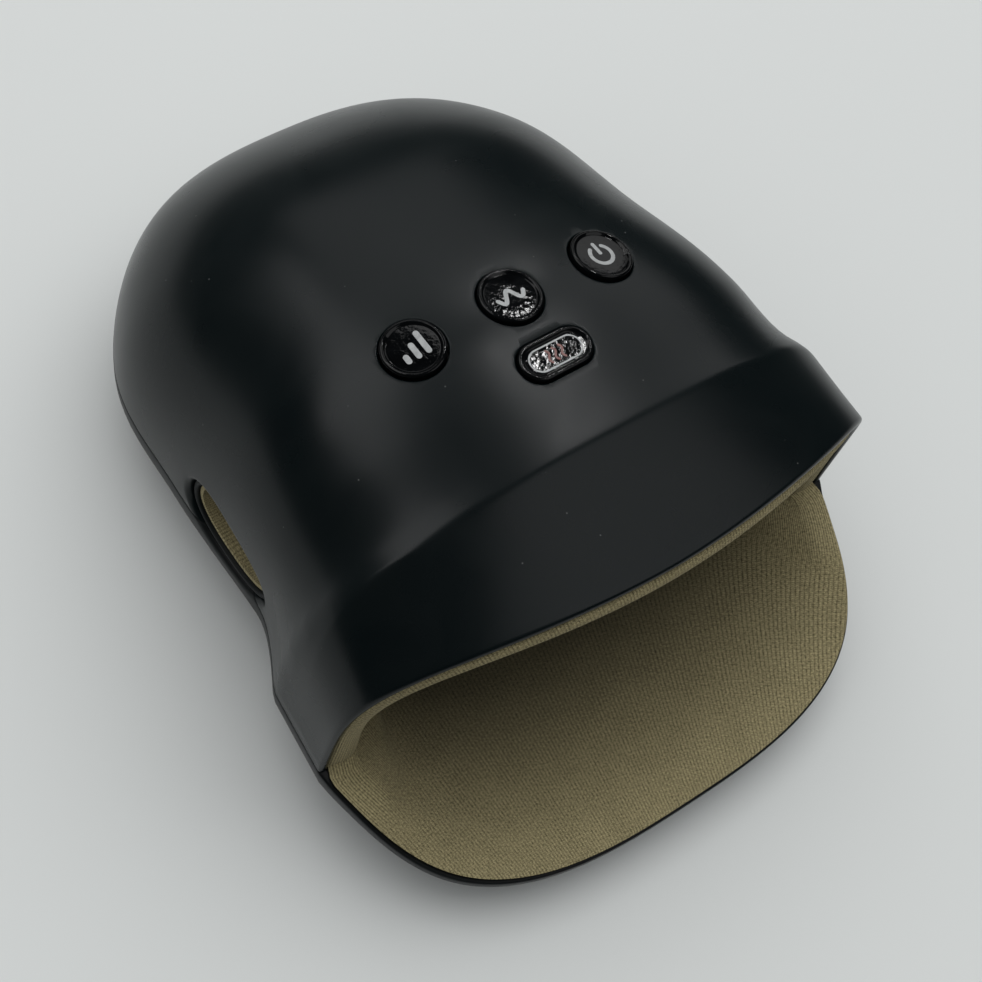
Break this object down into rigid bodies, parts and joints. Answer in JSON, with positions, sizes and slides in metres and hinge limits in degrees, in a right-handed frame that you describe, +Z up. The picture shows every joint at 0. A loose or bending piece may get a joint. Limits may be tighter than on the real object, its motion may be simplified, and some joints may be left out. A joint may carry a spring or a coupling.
{
  "type": "hand massager",
  "caption": "Cordless air-compression hand massager: curved black cover over a base with a tongue, knit-lined hand cavity, side thumb holes, round and stadium push buttons.",
  "frame": {"origin": "bottom centre of the bounding box, on the plane of the four feet", "axes": "+Y from the mouth's tongue towards the closed finger end, +Z up through the buttons, +X to the right seen from the mouth"},
  "size_m": [0.1644, 0.2106, 0.0995],
  "materials": {
    "cover_black": "satin moulded plastic",
    "base_black": "fine satin moulded plastic",
    "frame_black": "matt moulded plastic",
    "cap_black": "polished plastic with printed signs",
    "cloth_khaki": "fine ribbed knit",
    "tray_white": "plain moulded plastic",
    "bag_grey": "smooth welded film",
    "film_amber": "polyimide film",
    "board_green": "solder mask",
    "pump_grey": "plain moulded plastic",
    "part_steel": "plated steel",
    "hose_clear": "milky silicone",
    "cell_blue": "shrink sleeve over a metal can",
    "foot_grey": "matt rubber"
  },
  "bodies": {
    "housing": {"top_cover": "cover_black", "base_shell": "base_black", "mouth_frame_top": "frame_black", "mouth_frame_base": "frame_black", "thumb_ring_left": "frame_black", "thumb_ring_right": "frame_black", "fabric_sleeve": "cloth_khaki", "thumb_port_left": "cloth_khaki", "thumb_port_right": "cloth_khaki", "upper_tray": "tray_white", "lower_tray": "tray_white", "air_manifold": "tray_white", "cell_clamp_left": "tray_white", "cell_clamp_right": "tray_white", "upper_airbag": "bag_grey", "lower_airbag": "bag_grey", "heating_film": "film_amber", "button_board": "board_green", "main_board": "board_green", "pump_head": "pump_grey", "valve_upper": "pump_grey", "valve_lower": "pump_grey", "pump_motor": "part_steel", "charge_jack": "part_steel", "case_screw_front_left": "part_steel", "case_screw_front_right": "part_steel", "case_screw_middle_left": "part_steel", "case_screw_middle_right": "part_steel", "case_screw_rear_left": "part_steel", "case_screw_rear_right": "part_steel", "tray_screw_front_left": "part_steel", "tray_screw_front_right": "part_steel", "tray_screw_rear_left": "part_steel", "tray_screw_rear_right": "part_steel", "board_screw_left": "part_steel", "board_screw_right": "part_steel", "board_screw_front": "part_steel", "hose_pump": "hose_clear", "hose_upper": "hose_clear", "hose_lower": "hose_clear", "battery_cell_left": "cell_blue", "battery_cell_right": "cell_blue", "foot_front_left": "foot_grey", "foot_front_right": "foot_grey", "foot_rear_left": "foot_grey", "foot_rear_right": "foot_grey"},
    "cap_level": {"cap_level": "cap_black"},
    "cap_mode": {"cap_mode": "cap_black"},
    "cap_power": {"cap_power": "cap_black"},
    "cap_heat": {"cap_heat": "cap_black"},
    "pump_rotor": {"pump_rotor": "part_steel"},
    "plunger_upper": {"plunger_upper": "part_steel"},
    "plunger_lower": {"plunger_lower": "part_steel"}
  },
  "joints": [
    {"name": "cap_level_press", "type": "slide", "parent": "housing", "child": "cap_level", "axis": [0.1607, -0.1159, -0.9802], "range_m": [0, 0.0006], "stiffness_N_per_m": 900, "springref_m": -0.0012},
    {"name": "cap_mode_press", "type": "slide", "parent": "housing", "child": "cap_mode", "axis": [0, -0.1105, -0.9939], "range_m": [0, 0.0006], "stiffness_N_per_m": 900, "springref_m": -0.0012},
    {"name": "cap_power_press", "type": "slide", "parent": "housing", "child": "cap_power", "axis": [-0.1607, -0.1159, -0.9802], "range_m": [0, 0.0006], "stiffness_N_per_m": 900, "springref_m": -0.0012},
    {"name": "cap_heat_press", "type": "slide", "parent": "housing", "child": "cap_heat", "axis": [0, 0.0199, -0.9998], "range_m": [0, 0.0006], "stiffness_N_per_m": 900, "springref_m": -0.0012},
    {"name": "pump_rotor_spin", "type": "hinge", "parent": "housing", "child": "pump_rotor", "pos_m": [0, 0.0333, 0.0723], "axis": [1, 0, 0], "continuous": true},
    {"name": "plunger_upper_stroke", "type": "slide", "parent": "housing", "child": "plunger_upper", "axis": [0, 1, 0], "range_m": [0, 0.001], "stiffness_N_per_m": 500, "springref_m": -0.001},
    {"name": "plunger_lower_stroke", "type": "slide", "parent": "housing", "child": "plunger_lower", "axis": [0, 1, 0], "range_m": [0, 0.001], "stiffness_N_per_m": 500, "springref_m": -0.001}
  ]
}
